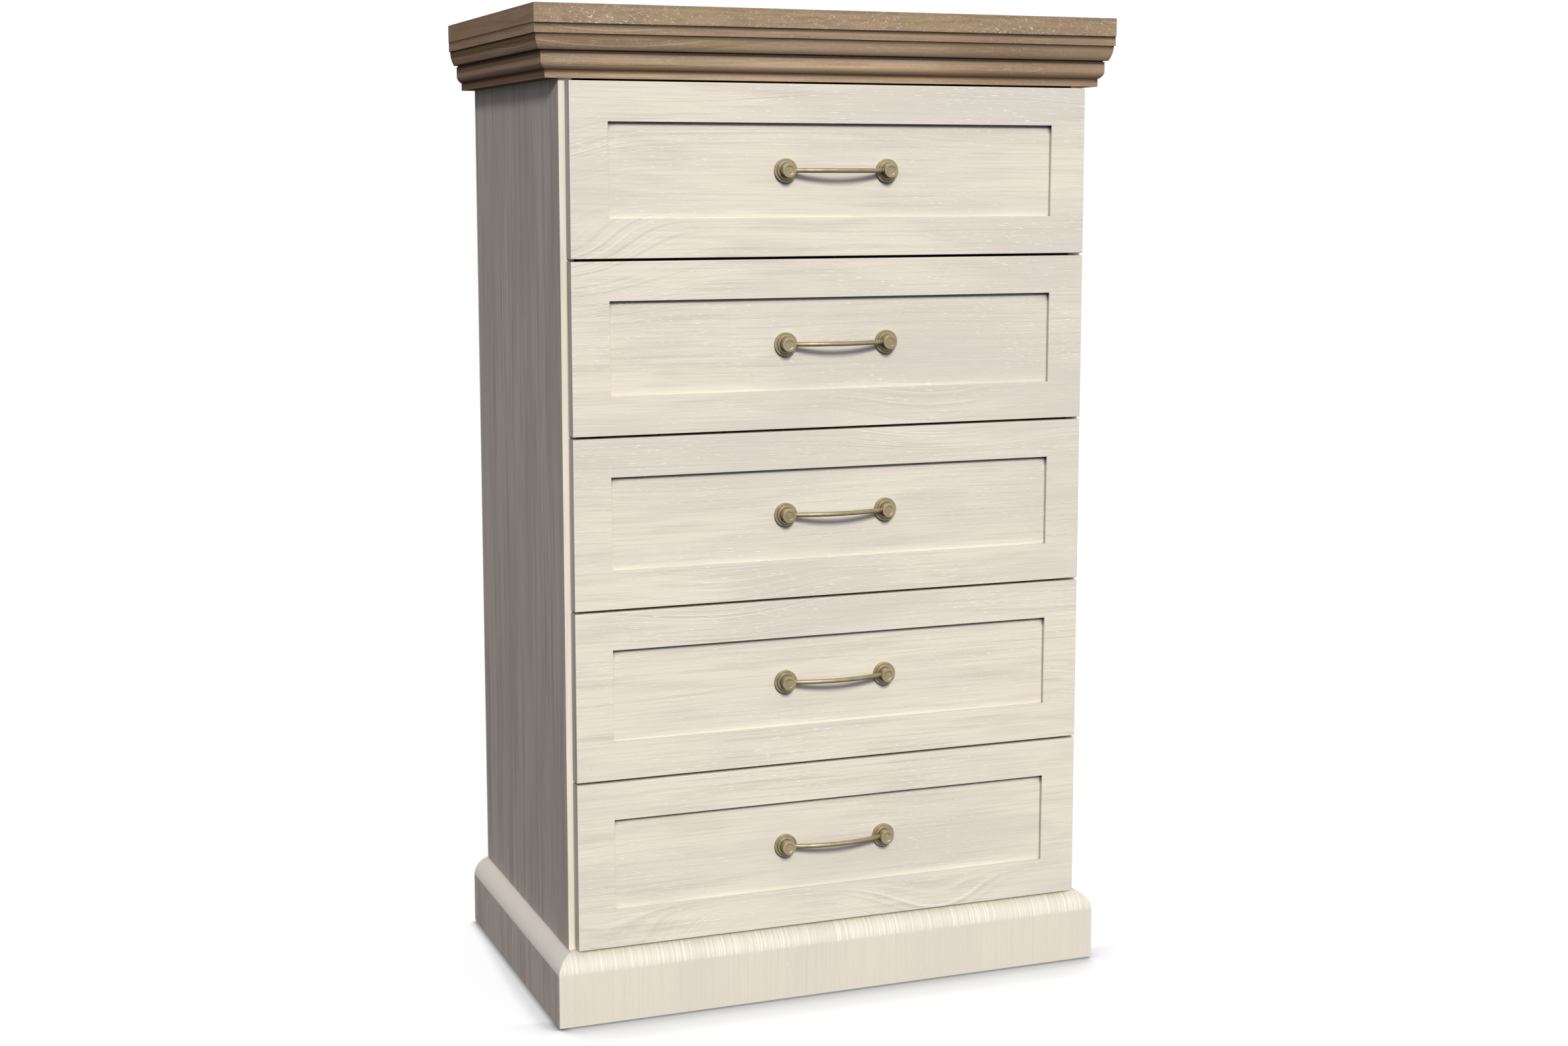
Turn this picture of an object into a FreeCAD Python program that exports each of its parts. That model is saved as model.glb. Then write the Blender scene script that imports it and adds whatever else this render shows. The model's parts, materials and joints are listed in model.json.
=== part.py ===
import FreeCAD, Part
import math
import os

from FreeCAD import Vector

# Five-drawer chest with overlay fronts, a mitred cornice under the top board and a mitred plinth.
# Sizes are in millimetres. X runs to the right seen from the front, Y to the back and Z up.
# "Forward" is the distance in front of the carcass's front edges, against Y.

# Drawer fronts
drawer_count = 5
front_width = 648.0
front_height = 198.5
front_thickness = 18.0
front_gap = 3.0
front_stand_off = 1.5
front_edge_radius = 0.8
recess_frame = 45.0
recess_depth = 5.0

# Carcass
side_reveal = 7.0
side_thickness = 16.0
board_thickness = 16.0
carcass_depth = 397.0
back_thickness = 3.0

# Plinth and floor glides
plinth_height = 88.0
plinth_front_depth = 25.0
plinth_side_depth = 19.0
plinth_round_radius = 24.5
plinth_to_front_gap = 2.7
glide_height = 2.0
glide_diameter = 14.0
glide_setback = 30.0

# Cornice, from its top to its bottom, and the top board
cornice_to_front_gap = 2.8
fillet_height = 11.0
fillet_step = 1.5
upper_band_height = 17.5
upper_band_fall = 4.5
upper_band_bulge = 1.1
quirk_height = 1.5
quirk_depth = 5.0
lower_band_return = 1.5
lower_band_straight = 13.0
lower_band_round = 7.0
lower_band_fall = 5.0
lower_band_bulge = 0.8
lip_step = 1.0
lip_height = 9.5
front_lip_depth = 6.2
side_lip_depth = 17.0
top_thickness = 22.0
top_front_overhang = 1.3
top_side_overhang = 0.5
top_edge_radius = 0.8

# Drawer boxes
box_lift = 22.0
box_height = 140.0
box_depth = 360.0
box_board = 15.0
bottom_thickness = 3.0
bottom_rise = 12.0
groove_depth = 6.0
groove_slack = 0.1
bottom_end_slack = 0.5

# Ball runners
runner_space = 12.7
runner_height = 35.0
runner_length = 350.0
runner_setback = 2.0
runner_wall = 1.2
runner_rise = 50.0
runner_face_gap = 3.5
ball_diameter = 4.7
ball_slack = 0.3
balls_per_row = 3
cage_length = 90.0
cage_wall = 0.8
cage_web_gap = 0.8
drawer_travel = 260.0

# Pulls
pull_spacing = 128.0
rose_diameter = 28.0
rose_height = 3.0
collar_diameter = 22.0
collar_height = 2.2
neck_diameter = 14.5
neck_height = 2.0
knob_diameter = 16.5
knob_height = 7.8
edge_bevel = 1.2
bar_diameter = 5.5
bar_height = 4.5
bar_bow = 13.25

# Fasteners
fit_slack = 0.1
panel_screw_head = 7.0
panel_screw_shank = 4.5
panel_screw_cone = 3.0
panel_screw_length = 46.0
panel_screw_inset = 60.0
trim_screw_head = 7.0
trim_screw_shank = 3.5
trim_screw_cone = 2.5
trim_screw_bite = 12.0
runner_screw_head = 7.0
runner_screw_head_height = 0.5
runner_screw_shank = 3.5
runner_screw_bite = 11.0
runner_screw_first = 37.0
runner_screw_pitch = 224.0
pull_screw_head = 8.0
pull_screw_head_height = 2.0
pull_screw_shank = 4.0
pull_screw_bite = 7.0
cam_diameter = 15.0
cam_depth = 12.0
cam_setback = 24.0
cam_bolt_diameter = 6.0
cam_bolt_bite = 11.0
box_screw_low = 90.0
box_screw_high = 120.0
nail_shank = 1.6
nail_head = 3.4
nail_head_height = 0.8
nail_length = 16.0
back_nails_per_side = 7
bottom_nails = 3

# Widths and heights that follow
carcass_half = front_width / 2 + side_reveal
inner_half = carcass_half - side_thickness
back_depth = carcass_depth + back_thickness
fronts_bottom = plinth_height + plinth_to_front_gap
drawer_pitch = front_height + front_gap
fronts_top = fronts_bottom + drawer_count * drawer_pitch - front_gap
cornice_bottom = fronts_top + cornice_to_front_gap
lower_band_height = lower_band_straight + lower_band_round
cornice_height = fillet_height + upper_band_height + quirk_height + lower_band_height + lip_height
cornice_top = cornice_bottom + cornice_height
cornice_fall = (
    fillet_step + upper_band_fall + quirk_depth - lower_band_return + lower_band_fall + lip_step
)
front_fillet = front_lip_depth + cornice_fall
side_fillet = side_lip_depth + cornice_fall
sub_top_bottom = cornice_top - board_thickness
bottom_board_bottom = plinth_height - board_thickness

# Depths that follow, as distances forward
front_face = front_stand_off + front_thickness
recess_floor = front_face - recess_depth
knob_end = rose_height + collar_height + neck_height + knob_height
bar_front = bar_height + bar_bow + bar_diameter / 2
pull_reach = recess_floor + max(knob_end, bar_front)

# The origin is under the middle of the whole object, pulls included.
carcass_front_y = (pull_reach - back_depth) / 2

# Drawer box values that follow, for a drawer whose front has its lower edge at height 0
box_half = inner_half - runner_space
box_inner_half = box_half - box_board
box_top = box_lift + box_height
box_back = front_stand_off - box_depth
bottom_low = box_lift + bottom_rise
bottom_high = bottom_low + bottom_thickness
pull_centre = front_height / 2
runner_centre = box_lift + runner_rise
inner_runner_half = runner_height / 2 - runner_wall - ball_diameter - 2 * ball_slack
cage_row = runner_height / 2 - runner_wall - ball_slack - ball_diameter / 2
cabinet_flange = runner_space - runner_wall - runner_face_gap
cage_web_start = runner_wall + cage_web_gap
cage_web_end = cage_web_start + cage_wall
cage_row_middle = cage_web_end + ball_slack + ball_diameter / 2
drawer_flange = cage_web_end + cage_web_gap
cage_start = runner_setback + drawer_travel / 2

NOWHERE = Vector(0, 0, 0)
ACROSS = Vector(1, 0, 0)
BACKWARD = Vector(0, 1, 0)
FORWARD = Vector(0, -1, 0)
UP = Vector(0, 0, 1)


def place(x, forward, z):
    """The point at x, at a distance forward of the carcass's front edges, at height z."""
    return Vector(x, carcass_front_y - forward, z)


def block(x_from, x_to, forward_from, forward_to, z_from, z_to):
    """A box between two values of x, two distances forward and two heights."""
    corner = place(x_from, forward_to, z_from)
    return Part.makeBox(x_to - x_from, forward_to - forward_from, z_to - z_from, corner)


def mirrored(shape):
    """The same shape on the other side of the middle plane."""
    return shape.mirror(NOWHERE, ACROSS)


def outline(lift, start, steps):
    """A face whose edge runs from start through steps: (end,) is a line and (middle, end) an arc."""
    edges = []
    here = lift(*start)
    for step in steps:
        there = lift(*step[-1])
        if len(step) == 1:
            edges.append(Part.LineSegment(here, there).toShape())
        else:
            edges.append(Part.Arc(here, lift(*step[0]), there).toShape())
        here = there
    return Part.Face(Part.Wire(edges))


def bulged_middle(start, end, bulge):
    """The middle of an arc from start to end that stands out by bulge, to the left of the way there."""
    run = end[0] - start[0]
    rise = end[1] - start[1]
    length = math.hypot(run, rise)
    return (
        (start[0] + end[0]) / 2 - rise / length * bulge,
        (start[1] + end[1]) / 2 + run / length * bulge,
    )


def cut_all(shape, tools):
    """The shape with every tool taken out of it."""
    return shape.cut(tools)


def countersunk(seat, direction, head, shank, cone, length, slack=0.0):
    """A countersunk screw whose flat head lies at seat, or its hole when slack is given."""
    tip = Part.makeCylinder(shank / 2 + slack, length + slack, seat, direction)
    return tip.fuse(Part.makeCone(head / 2 + slack, shank / 2 + slack, cone, seat, direction))


def headed(seat, direction, head, head_height, shank, length, slack=0.0):
    """A flat-headed fastener whose head stands behind seat and whose shank runs on along direction."""
    start = seat - direction * (head_height + slack)
    tip = Part.makeCylinder(shank / 2 + slack, length + slack, seat, direction)
    return tip.fuse(Part.makeCylinder(head / 2 + slack, head_height + slack, start, direction))


def panel_screw(seat, direction, slack=0.0):
    """A long screw that joins two boards at a right angle."""
    return countersunk(
        seat, direction, panel_screw_head, panel_screw_shank, panel_screw_cone, panel_screw_length, slack
    )


def trim_screw(seat, direction, slack=0.0):
    """A screw through a side panel into the moulding outside it."""
    length = side_thickness + trim_screw_bite
    return countersunk(
        seat, direction, trim_screw_head, trim_screw_shank, trim_screw_cone, length, slack
    )


def runner_screw(seat, direction, slack=0.0):
    """A thin-headed screw through a runner's web into the board behind it."""
    length = runner_wall + runner_screw_bite
    return headed(
        seat, direction, runner_screw_head, runner_screw_head_height, runner_screw_shank, length, slack
    )


def nail(seat, direction, slack=0.0):
    """A nail whose head is sunk level with the surface at seat."""
    under_head = seat + direction * nail_head_height
    return headed(under_head, direction, nail_head, nail_head_height, nail_shank, nail_length, slack)


def both_sides(shapes):
    """The shapes of the right-hand side with their mirror images."""
    return shapes + [mirrored(shape) for shape in shapes]


def mitre_region(front_depth, side_depth, z_from, z_to):
    """The space of a front moulding: it ends at the corner's 45 degree mitre with the side mouldings."""
    offset = side_depth - front_depth
    reach = front_depth + side_depth
    right = [(carcass_half + max(offset, 0), 0)]
    if offset < 0:
        right.append((carcass_half, -offset))
    right.append((carcass_half + offset + reach, reach))
    left = [(-x, forward) for x, forward in reversed(right)]
    corners = [place(x, forward, z_from) for x, forward in right + left]
    base = Part.Face(Part.makePolygon(corners + corners[:1]))
    return base.extrude(UP * (z_to - z_from))


def mouldings(profile, front_depth, side_depth, z_from, z_to):
    """Front, left and right lengths of a moulding; profile gives the outline for a depth."""
    region = mitre_region(front_depth, side_depth, z_from, z_to)
    half_length = carcass_half + side_depth
    start, steps = profile(front_depth)
    front_end = outline(lambda out, z: place(-half_length, out, z), start, steps)
    front = front_end.extrude(ACROSS * (2 * half_length)).common(region)
    start, steps = profile(side_depth)
    side_end = outline(lambda out, z: place(carcass_half + out, -back_depth, z), start, steps)
    right = side_end.extrude(FORWARD * (back_depth + front_depth)).cut(region)
    return front, mirrored(right), right


def plinth_profile(depth):
    """A board standing on edge with its upper outer edge rounded over."""
    radius = plinth_round_radius
    centre = (depth - radius, plinth_height - radius)
    sweep = math.pi / 2 if depth >= radius else math.acos((radius - depth) / radius)
    half = (centre[0] + radius * math.cos(sweep / 2), centre[1] + radius * math.sin(sweep / 2))
    end = (centre[0] + radius * math.cos(sweep), centre[1] + radius * math.sin(sweep))
    steps = [((depth, glide_height),), ((depth, centre[1]),), (half, end)]
    if depth > radius:
        steps.append(((0, plinth_height),))
    steps.append(((0, glide_height),))
    return (0, glide_height), steps


def cornice_profile(depth):
    """Fillet, upper band, quirk, lower band and lip, from the top down."""
    fillet_low = cornice_top - fillet_height
    band = (depth - fillet_step, fillet_low)
    band_end = (band[0] - upper_band_fall, fillet_low - upper_band_height)
    quirk = (band_end[0] - quirk_depth, band_end[1])
    quirk_end = (quirk[0], quirk[1] - quirk_height)
    lower = (quirk_end[0] + lower_band_return, quirk_end[1])
    lower_turn = (lower[0], lower[1] - lower_band_straight)
    lower_end = (lower[0] - lower_band_fall, lower_turn[1] - lower_band_round)
    lip = (lower_end[0] - lip_step, lower_end[1])
    steps = [
        ((depth, cornice_top),),
        ((depth, fillet_low),),
        (band,),
        (bulged_middle(band, band_end, upper_band_bulge), band_end),
        (quirk,),
        (quirk_end,),
        (lower,),
        (lower_turn,),
        (bulged_middle(lower_turn, lower_end, lower_band_bulge), lower_end),
        (lip,),
        ((lip[0], cornice_bottom),),
        ((0, cornice_bottom),),
        ((0, cornice_top),),
    ]
    return (0, cornice_top), steps


def edges_at_front(shape, forward):
    """The edges of a shape that lie flat at a distance forward."""
    y = carcass_front_y - forward
    return [e for e in shape.Edges if all(math.isclose(v.Point.y, y, abs_tol=1e-6) for v in e.Vertexes)]


def channel(web_from, web_to, flange_to, half_height, wall, forward_from, forward_to, middle):
    """A U-shaped strip on the right-hand side; distances are taken inwards from the side panel."""
    low = min(web_from, flange_to)
    high = max(web_to, flange_to)
    outside = (inner_half - high, inner_half - low, forward_from, forward_to)
    hollow_low = web_to if flange_to > web_to else low
    hollow_high = high if flange_to > web_to else web_from
    inside = (inner_half - hollow_high, inner_half - hollow_low, forward_from, forward_to)
    solid = block(*outside, middle - half_height, middle + half_height)
    hollow = block(*inside, middle - half_height + wall, middle + half_height - wall)
    return solid.cut(hollow)


def runner_screw_forwards():
    """Where the two screws of a runner member lie."""
    first = -runner_setback - runner_screw_first
    return [first, first - runner_screw_pitch]


def drawer_heights():
    """The heights of the lower edges of the fronts, from the top drawer down."""
    return [fronts_bottom + drawer_pitch * step for step in reversed(range(drawer_count))]


def cabinet_runner_screws(slack=0.0):
    """The screws that hold the right-hand cabinet members."""
    seats = [
        place(inner_half - runner_wall, forward, low + runner_centre)
        for low in drawer_heights()
        for forward in runner_screw_forwards()
    ]
    return [runner_screw(seat, ACROSS, slack) for seat in seats]


def side_joint_screws(slack=0.0):
    """The screws through the right-hand side panel into the bottom board and the sub top."""
    heights = [plinth_height - board_thickness / 2, cornice_top - board_thickness / 2]
    forwards = [-panel_screw_inset, panel_screw_inset - carcass_depth]
    seats = [place(carcass_half, forward, z) for z in heights for forward in forwards]
    return [panel_screw(seat, ACROSS * -1, slack) for seat in seats]


def side_trim_screws(slack=0.0):
    """The screws from inside that hold the right-hand cornice and plinth board."""
    heights = [bottom_board_bottom / 2, cornice_bottom + lip_height + lower_band_height / 2]
    forwards = [-panel_screw_inset, panel_screw_inset - carcass_depth]
    seats = [place(inner_half, forward, z) for z in heights for forward in forwards]
    return [trim_screw(seat, ACROSS, slack) for seat in seats]


def top_screws(slack=0.0):
    """The screws up through the right half of the sub top into the top board."""
    forwards = [-panel_screw_inset, panel_screw_inset - carcass_depth]
    seats = [place(inner_half - panel_screw_inset, forward, sub_top_bottom) for forward in forwards]
    length = board_thickness + trim_screw_bite
    sizes = (trim_screw_head, trim_screw_shank, trim_screw_cone, length)
    return [countersunk(seat, UP, *sizes, slack) for seat in seats]


def back_panel_nails(slack=0.0):
    """The nails through the right-hand edge of the back panel into the side panel."""
    low = bottom_board_bottom + board_thickness / 2
    step = (cornice_top - board_thickness / 2 - low) / (back_nails_per_side - 1)
    x = carcass_half - side_thickness / 2
    seats = [place(x, -back_depth, low + step * count) for count in range(back_nails_per_side)]
    return [nail(seat, FORWARD, slack) for seat in seats]


def side_panel():
    """The right-hand side panel, from the floor glides to the underside of the top board."""
    panel = block(inner_half, carcass_half, -carcass_depth, 0, glide_height, cornice_top)
    holes = side_joint_screws(fit_slack) + side_trim_screws(fit_slack)
    return cut_all(panel, holes + cabinet_runner_screws(fit_slack) + back_panel_nails(fit_slack))


def carcass_parts():
    """Everything that stands still."""
    right_panel = side_panel()
    joint_holes = both_sides(side_joint_screws(fit_slack))
    trim_holes = both_sides(side_trim_screws(fit_slack))
    top_holes = both_sides(top_screws(fit_slack))
    bottom = block(-inner_half, inner_half, -carcass_depth, 0, bottom_board_bottom, plinth_height)
    sub_top = block(-inner_half, inner_half, -carcass_depth, 0, sub_top_bottom, cornice_top)
    back = block(-carcass_half, carcass_half, -back_depth, -carcass_depth, bottom_board_bottom, cornice_top)
    top_half = carcass_half + side_fillet + top_side_overhang
    top_front = front_fillet + top_front_overhang
    top = block(-top_half, top_half, -back_depth, top_front, cornice_top, cornice_top + top_thickness)
    top = top.makeFillet(top_edge_radius, edges_at_front(top, top_front))
    plinth = mouldings(plinth_profile, plinth_front_depth, plinth_side_depth, glide_height, plinth_height)
    cornice = mouldings(cornice_profile, front_fillet, side_fillet, cornice_bottom, cornice_top)
    return {
        "left_side_panel": mirrored(right_panel),
        "right_side_panel": right_panel,
        "bottom_board": cut_all(bottom, joint_holes),
        "sub_top": cut_all(sub_top, joint_holes + top_holes),
        "back_panel": cut_all(back, both_sides(back_panel_nails(fit_slack))),
        "top_board": cut_all(top, top_holes),
        "cornice_front": cornice[0],
        "cornice_left": cut_all(cornice[1], trim_holes),
        "cornice_right": cut_all(cornice[2], trim_holes),
        "plinth_front": plinth[0],
        "plinth_left": cut_all(plinth[1], trim_holes),
        "plinth_right": cut_all(plinth[2], trim_holes),
        "cabinet_runners": Part.makeCompound(cabinet_runners()),
        "floor_glides": Part.makeCompound(floor_glides()),
        "carcass_fasteners": Part.makeCompound(carcass_fasteners()),
    }


def cabinet_runners():
    """The members of the runners that are screwed to the side panels."""
    members = []
    for low in drawer_heights():
        member = channel(
            0,
            runner_wall,
            cabinet_flange,
            runner_height / 2,
            runner_wall,
            -runner_setback - runner_length,
            -runner_setback,
            low + runner_centre,
        )
        members.append(cut_all(member, cabinet_runner_screws(fit_slack)))
    return both_sides(members)


def floor_glides():
    """Round glides under the lower edges of the side panels."""
    x = carcass_half - side_thickness / 2
    forwards = [-glide_setback, glide_setback - carcass_depth]
    glides = [
        Part.makeCylinder(glide_diameter / 2, glide_height, place(x, forward, 0)) for forward in forwards
    ]
    return both_sides(glides)


def carcass_fasteners():
    """All screws and nails of the carcass."""
    right = side_joint_screws() + side_trim_screws() + top_screws()
    return both_sides(right + back_panel_nails() + cabinet_runner_screws())


def cam_bolts():
    """The right-hand bolt from the drawer front and the cam in the drawer side that draws it in."""
    x = box_half - box_board / 2
    z = (box_lift + box_top) / 2
    cam_middle = front_stand_off - cam_setback
    bolt_end = cam_middle + cam_diameter / 2
    bolt_length = front_stand_off - bolt_end + cam_bolt_bite
    bolt = Part.makeCylinder(cam_bolt_diameter / 2, bolt_length, place(x, bolt_end, z), FORWARD)
    cam_seat = place(box_inner_half, cam_middle, z)
    cam = Part.makeCylinder(cam_diameter / 2, cam_depth, cam_seat, ACROSS)
    return [bolt.cut(cam), cam]


def cam_holes():
    """The right-hand holes for the cam and its bolt."""
    x = box_half - box_board / 2
    z = (box_lift + box_top) / 2
    cam_middle = front_stand_off - cam_setback
    bolt_reach = front_stand_off - cam_middle + cam_bolt_bite + fit_slack
    bolt_radius = cam_bolt_diameter / 2 + fit_slack
    bolt = Part.makeCylinder(bolt_radius, bolt_reach, place(x, cam_middle, z), FORWARD)
    cam_seat = place(box_inner_half, cam_middle, z)
    cam = Part.makeCylinder(cam_diameter / 2 + fit_slack, cam_depth + fit_slack, cam_seat, ACROSS)
    return [bolt, cam]


def box_screws(slack=0.0):
    """The screws through the right-hand drawer side into the drawer back."""
    heights = [box_lift + box_screw_low, box_lift + box_screw_high]
    forward = box_back + box_board / 2
    return [panel_screw(place(box_half, forward, z), ACROSS * -1, slack) for z in heights]


def drawer_runner_screws(slack=0.0):
    """The screws that hold the right-hand drawer member."""
    seats = [
        place(box_half + runner_wall, forward, runner_centre) for forward in runner_screw_forwards()
    ]
    return [runner_screw(seat, ACROSS * -1, slack) for seat in seats]


def pull_screws(slack=0.0):
    """The two screws through the front into the pull's posts."""
    length = recess_floor - front_stand_off + pull_screw_bite
    sizes = (pull_screw_head, pull_screw_head_height, pull_screw_shank, length)
    seats = [place(side * pull_spacing / 2, front_stand_off, pull_centre) for side in (-1, 1)]
    return [headed(seat, FORWARD, *sizes, slack) for seat in seats]


def bottom_panel_nails(slack=0.0):
    """The nails up through the drawer bottom into the drawer back."""
    step = 2 * box_inner_half / (bottom_nails + 1)
    forward = box_back + box_board / 2
    seats = [
        place(step * (count + 1) - box_inner_half, forward, bottom_low) for count in range(bottom_nails)
    ]
    return [nail(seat, UP, slack) for seat in seats]


def drawer_front():
    """A milled front board with a square recess, drilled and grooved behind."""
    half = front_width / 2
    board = block(-half, half, front_stand_off, front_face, 0, front_height)
    board = board.makeFillet(front_edge_radius, edges_at_front(board, front_face))
    field_half = half - recess_frame
    field_top = front_height - recess_frame
    field = block(-field_half, field_half, recess_floor, front_face, recess_frame, field_top)
    holes = pull_screws(fit_slack) + both_sides(cam_holes())
    return cut_all(board, [field, bottom_groove()] + holes)


def bottom_groove():
    """The groove that takes the drawer bottom, along the front and both sides."""
    half = box_inner_half + groove_depth
    front_end = front_stand_off + groove_depth
    return block(-half, half, box_back, front_end, bottom_low - groove_slack, bottom_high + groove_slack)


def drawer_side():
    """The right-hand drawer side."""
    board = block(box_inner_half, box_half, box_back, front_stand_off, box_lift, box_top)
    holes = cam_holes() + box_screws(fit_slack) + drawer_runner_screws(fit_slack)
    return cut_all(board, [bottom_groove()] + holes)


def drawer_back():
    """The back board, standing on the drawer bottom between the sides."""
    low = bottom_high + groove_slack
    board = block(-box_inner_half, box_inner_half, box_back, box_back + box_board, low, box_top)
    return cut_all(board, both_sides(box_screws(fit_slack)) + bottom_panel_nails(fit_slack))


def drawer_bottom():
    """The thin bottom panel in its groove."""
    half = box_inner_half + groove_depth - bottom_end_slack
    front_end = front_stand_off + groove_depth - bottom_end_slack
    panel = block(-half, half, box_back, front_end, bottom_low, bottom_high)
    return cut_all(panel, bottom_panel_nails(fit_slack))


def pull_post(x):
    """A turned post: rose, collar, neck and knob, about an axis that runs forward."""
    rose = rose_diameter / 2
    collar = collar_diameter / 2
    neck = neck_diameter / 2
    knob = knob_diameter / 2
    collar_end = rose_height + collar_height
    neck_end = collar_end + neck_height
    points = [
        (0, 0),
        (rose, 0),
        (rose, rose_height - edge_bevel),
        (rose - edge_bevel, rose_height),
        (collar, rose_height),
        (collar, collar_end - edge_bevel),
        (collar - edge_bevel, collar_end),
        (neck, collar_end),
        (neck, neck_end - edge_bevel),
        (knob, neck_end),
        (knob, knob_end - edge_bevel),
        (knob - edge_bevel, knob_end),
        (0, knob_end),
        (0, 0),
    ]
    corners = [place(x + radius, recess_floor + out, pull_centre) for radius, out in points]
    section = Part.Face(Part.makePolygon(corners))
    return section.revolve(place(x, recess_floor, pull_centre), BACKWARD, 360)


def pull():
    """Two posts joined by a round bar that bows forward."""
    half_chord = pull_spacing / 2
    radius = (half_chord**2 + bar_bow**2) / (2 * bar_bow)
    sweep = math.degrees(math.asin(half_chord / radius))
    middle = place(0, recess_floor + bar_height + bar_bow, pull_centre)
    axis = middle + BACKWARD * radius
    ring = Part.Face(Part.Wire(Part.makeCircle(bar_diameter / 2, middle, ACROSS)))
    bar = ring.rotated(axis, UP, -sweep).revolve(axis, UP, 2 * sweep)
    posts = [pull_post(side * half_chord) for side in (-1, 1)]
    whole = posts[0].fuse([posts[1], bar])
    return cut_all(whole, pull_screws(fit_slack))


def drawer_runners():
    """The members of the runners that are screwed to the drawer sides."""
    member = channel(
        runner_space - runner_wall,
        runner_space,
        drawer_flange,
        inner_runner_half,
        runner_wall,
        -runner_setback - runner_length,
        -runner_setback,
        runner_centre,
    )
    return both_sides([cut_all(member, drawer_runner_screws(fit_slack))])


def ball_cages():
    """The strips that carry the balls between the two members of each runner."""
    half = cage_row + cage_wall / 2
    start = -cage_start
    strip = channel(
        cage_web_start,
        cage_web_end,
        cabinet_flange,
        half,
        cage_wall,
        start - cage_length,
        start,
        runner_centre,
    )
    step = cage_length / balls_per_row
    x = inner_half - cage_row_middle
    seats = [
        place(x, start - step * (count + 0.5), runner_centre + row)
        for count in range(balls_per_row)
        for row in (-cage_row, cage_row)
    ]
    pocket = ball_diameter / 2 + fit_slack
    strip = cut_all(strip, [Part.makeSphere(pocket, seat) for seat in seats])
    balls = [Part.makeSphere(ball_diameter / 2, seat) for seat in seats]
    return both_sides([strip] + balls)


def drawer_fasteners():
    """All screws, bolts, cams and nails of one drawer."""
    right = cam_bolts() + box_screws() + drawer_runner_screws()
    return both_sides(right) + pull_screws() + bottom_panel_nails()


def drawer_parts():
    """One drawer with the lower edge of its front at height 0."""
    right_side = drawer_side()
    return {
        "front": drawer_front(),
        "left_side": mirrored(right_side),
        "right_side": right_side,
        "back": drawer_back(),
        "bottom": drawer_bottom(),
        "pull": pull(),
        "fasteners": Part.makeCompound(drawer_fasteners()),
        "runners": Part.makeCompound(drawer_runners()),
        "ball_cages": Part.makeCompound(ball_cages()),
    }


def all_parts():
    """Every node of the chest by name."""
    nodes = carcass_parts()
    drawer = drawer_parts()
    for number, low in enumerate(drawer_heights(), start=1):
        for name, shape in drawer.items():
            nodes[f"drawer_{number}_{name}"] = shape.translated(UP * low)
    return nodes


os.makedirs("parts", exist_ok=True)
for node, shape in all_parts().items():
    shape.exportStep(f"parts/{node}.step")
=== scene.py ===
"""Looks of a five-drawer chest: cream-washed pine foil, an oak-brown top and cornice, bowed brass pulls."""

import json
import math
from types import SimpleNamespace

import bmesh
import bpy
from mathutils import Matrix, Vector


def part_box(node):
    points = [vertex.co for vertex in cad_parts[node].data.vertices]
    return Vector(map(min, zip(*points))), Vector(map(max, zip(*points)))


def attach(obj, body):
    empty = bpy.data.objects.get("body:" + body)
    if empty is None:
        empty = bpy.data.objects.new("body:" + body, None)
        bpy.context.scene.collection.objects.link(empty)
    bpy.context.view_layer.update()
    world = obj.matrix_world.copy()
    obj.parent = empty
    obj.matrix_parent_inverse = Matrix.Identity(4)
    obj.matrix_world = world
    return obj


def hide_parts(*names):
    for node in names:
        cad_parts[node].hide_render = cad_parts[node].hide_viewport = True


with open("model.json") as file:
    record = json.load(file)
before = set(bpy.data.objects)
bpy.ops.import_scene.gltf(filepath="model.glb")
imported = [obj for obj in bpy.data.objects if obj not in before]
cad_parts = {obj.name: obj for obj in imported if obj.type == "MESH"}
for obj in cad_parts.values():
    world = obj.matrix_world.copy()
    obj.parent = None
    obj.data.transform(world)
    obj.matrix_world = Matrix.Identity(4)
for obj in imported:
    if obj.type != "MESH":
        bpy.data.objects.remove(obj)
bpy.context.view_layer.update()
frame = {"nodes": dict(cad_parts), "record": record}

MM = 0.001
TOUCH = 0.01 * MM
UP = Vector((0, 0, 1))
DRAWERS = range(1, 6)

# Drawer faces
recess_frame = 45 * MM
recess_depth = 5 * MM
face_edge_round = 0.8 * MM
recess_edge_round = 0.5 * MM
end_band = 0.1 * MM

# Edges and faces: angles between faces, and how well a face looks a given way, as a cosine
sharp_edge = math.radians(30)
shallow_edge = math.radians(50)
mostly = 0.7
squarely = 0.99

# Carcass boards
board_edge_round = 0.5 * MM
top_edge_round = 0.9 * MM

# Cornice, from its top to its bottom
fillet_height = 11 * MM
fillet_step = 1.5 * MM
upper_band_height = 17.5 * MM
upper_band_fall = 4.5 * MM
upper_band_bulge = 1.1 * MM
upper_band_steps = 10
quirk_height = 1.5 * MM
quirk_depth = 5 * MM
lower_band_return = 1.5 * MM
lower_band_straight = 13 * MM
lower_band_round = 7 * MM
lower_band_fall = 5 * MM
lower_band_bulge = 0.8 * MM
lower_band_steps = 6
lip_step = 1 * MM
moulding_edge_round = 0.35 * MM

# Heights of the cornice's lines
hairline = 0.2 * MM
cornice_low, cornice_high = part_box("cornice_front")
fillet_line = cornice_high.z - fillet_height
quirk_line = fillet_line - upper_band_height - quirk_height / 2
lip_line = quirk_line - quirk_height / 2 - lower_band_straight - lower_band_round

# Plinth
plinth_round_radius = 24.5 * MM
plinth_round_steps = 16

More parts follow.
